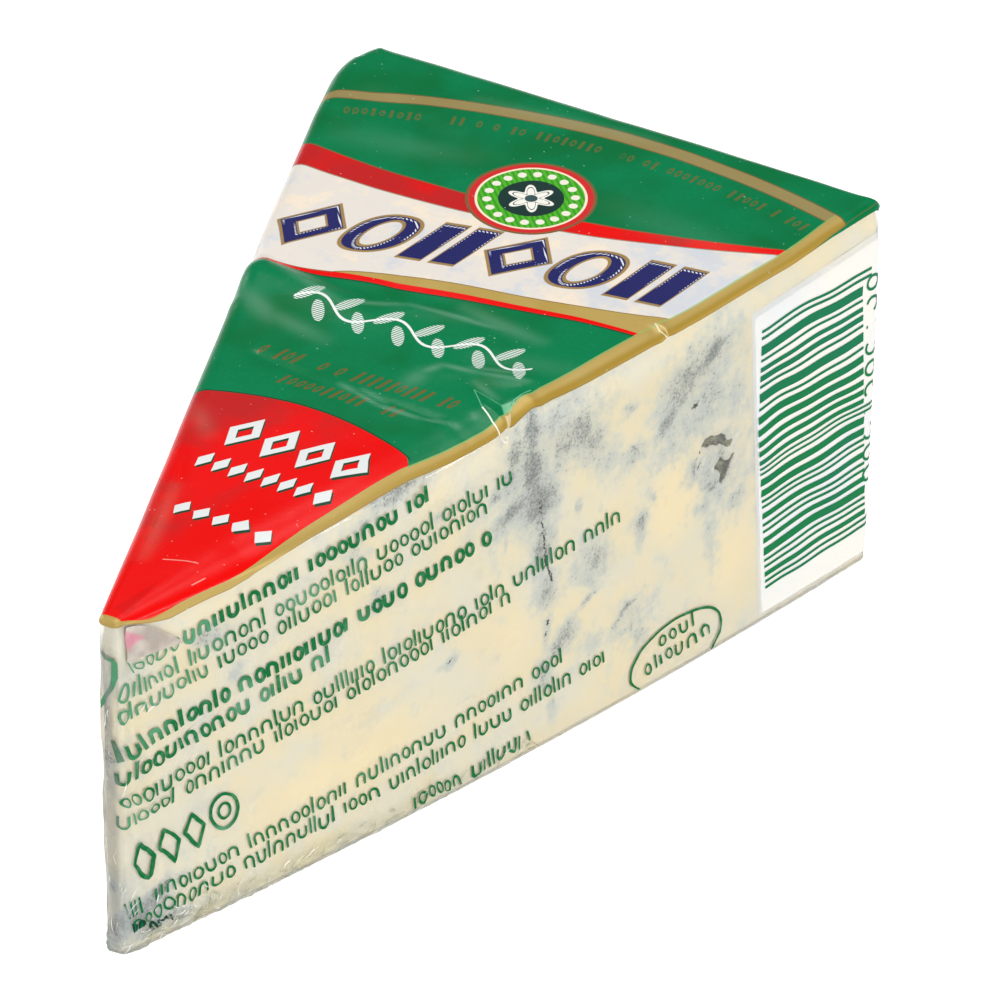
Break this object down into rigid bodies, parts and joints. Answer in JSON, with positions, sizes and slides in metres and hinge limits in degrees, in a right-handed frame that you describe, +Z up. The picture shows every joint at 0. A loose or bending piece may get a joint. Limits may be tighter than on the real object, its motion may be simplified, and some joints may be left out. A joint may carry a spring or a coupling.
{
  "type": "blue cheese wedge in film",
  "caption": "Wedge of blue-veined cheese sealed in clear film, with a printed film over its top, a white panel round a back corner and a flat underside to rest on.",
  "frame": {"origin": "centre of the footprint's box, on the plane of the flat underside", "axes": "+Z up; -Y towards the wedge's narrow nose, +Y towards its broad back; +X towards the side that the white panel is on"},
  "size_m": [0.0556, 0.0912, 0.0398],
  "materials": {
    "cheese": "moist cream-coloured cheese with grey-blue mould, seen through glossy clear film",
    "printed_film": "glossy film, printed green, red, white and dull gold",
    "white_panel": "white print with green bars under glossy film",
    "clear_film": "glossy, clear and slightly wrinkled"
  },
  "bodies": {
    "root": {"cheese_wedge": "cheese", "printed_film": "printed_film", "barcode_panel": "white_panel", "nose_fold": "clear_film"}
  },
  "joints": []
}
